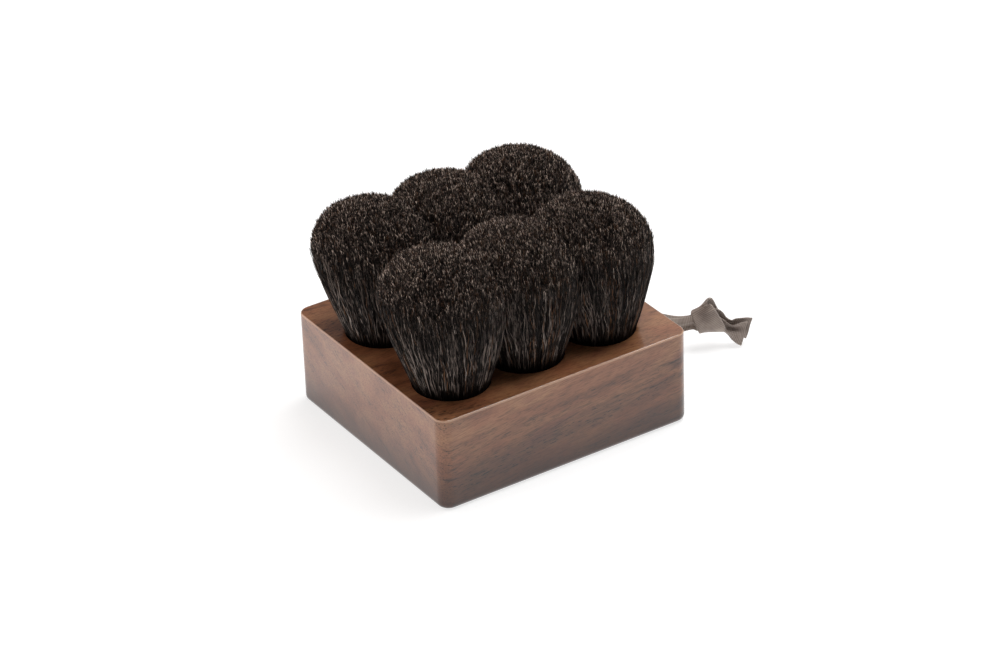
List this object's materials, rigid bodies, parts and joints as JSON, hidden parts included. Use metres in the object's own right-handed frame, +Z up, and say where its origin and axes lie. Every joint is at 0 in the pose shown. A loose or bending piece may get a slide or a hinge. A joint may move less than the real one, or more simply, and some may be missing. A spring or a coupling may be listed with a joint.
{
  "type": "clothes brush",
  "caption": "Hand-held clothes brush: soft round hair tufts set in a rectangular walnut block, with a knotted ribbon hanging strap on one end.",
  "frame": {"origin": "middle of the block's flat underside, on the surface that the brush stands on", "axes": "+Z up, out of the block towards the hair tips; +X along the block's long side, out of the end that the strap leaves; +Y along the short side, away from the row of front tufts"},
  "size_m": [0.138, 0.083, 0.0755],
  "materials": {
    "walnut": "satin oiled walnut",
    "goat_hair": "natural black-brown goat hair, cut ends",
    "binding_thread": "waxed twisted thread",
    "root_resin": "clear amber casting resin",
    "pin_brass": "drawn brass rod",
    "strap_ribbon": "woven grosgrain ribbon, matt"
  },
  "bodies": {
    "block": {"walnut_block": "walnut", "strap_pin": "pin_brass", "hair_tuft_front_left": "goat_hair", "hair_tuft_front_middle": "goat_hair", "hair_tuft_front_right": "goat_hair", "hair_tuft_rear_left": "goat_hair", "hair_tuft_rear_middle": "goat_hair", "hair_tuft_rear_right": "goat_hair", "thread_binding_front_left": "binding_thread", "thread_binding_front_middle": "binding_thread", "thread_binding_front_right": "binding_thread", "thread_binding_rear_left": "binding_thread", "thread_binding_rear_middle": "binding_thread", "thread_binding_rear_right": "binding_thread", "root_resin_front_left": "root_resin", "root_resin_front_middle": "root_resin", "root_resin_front_right": "root_resin", "root_resin_rear_left": "root_resin", "root_resin_rear_middle": "root_resin", "root_resin_rear_right": "root_resin"},
    "strap": {"strap_eye": "strap_ribbon", "strap_strand_near": "strap_ribbon", "strap_strand_far": "strap_ribbon", "strap_knot": "strap_ribbon", "strap_tail_near": "strap_ribbon", "strap_tail_far": "strap_ribbon"}
  },
  "joints": [
    {"name": "strap_swing", "type": "hinge", "parent": "block", "child": "strap", "pos_m": [0.0405, 0.0005, 0.0152], "axis": [0, 0, 1], "range_deg": [-20, 20]}
  ]
}
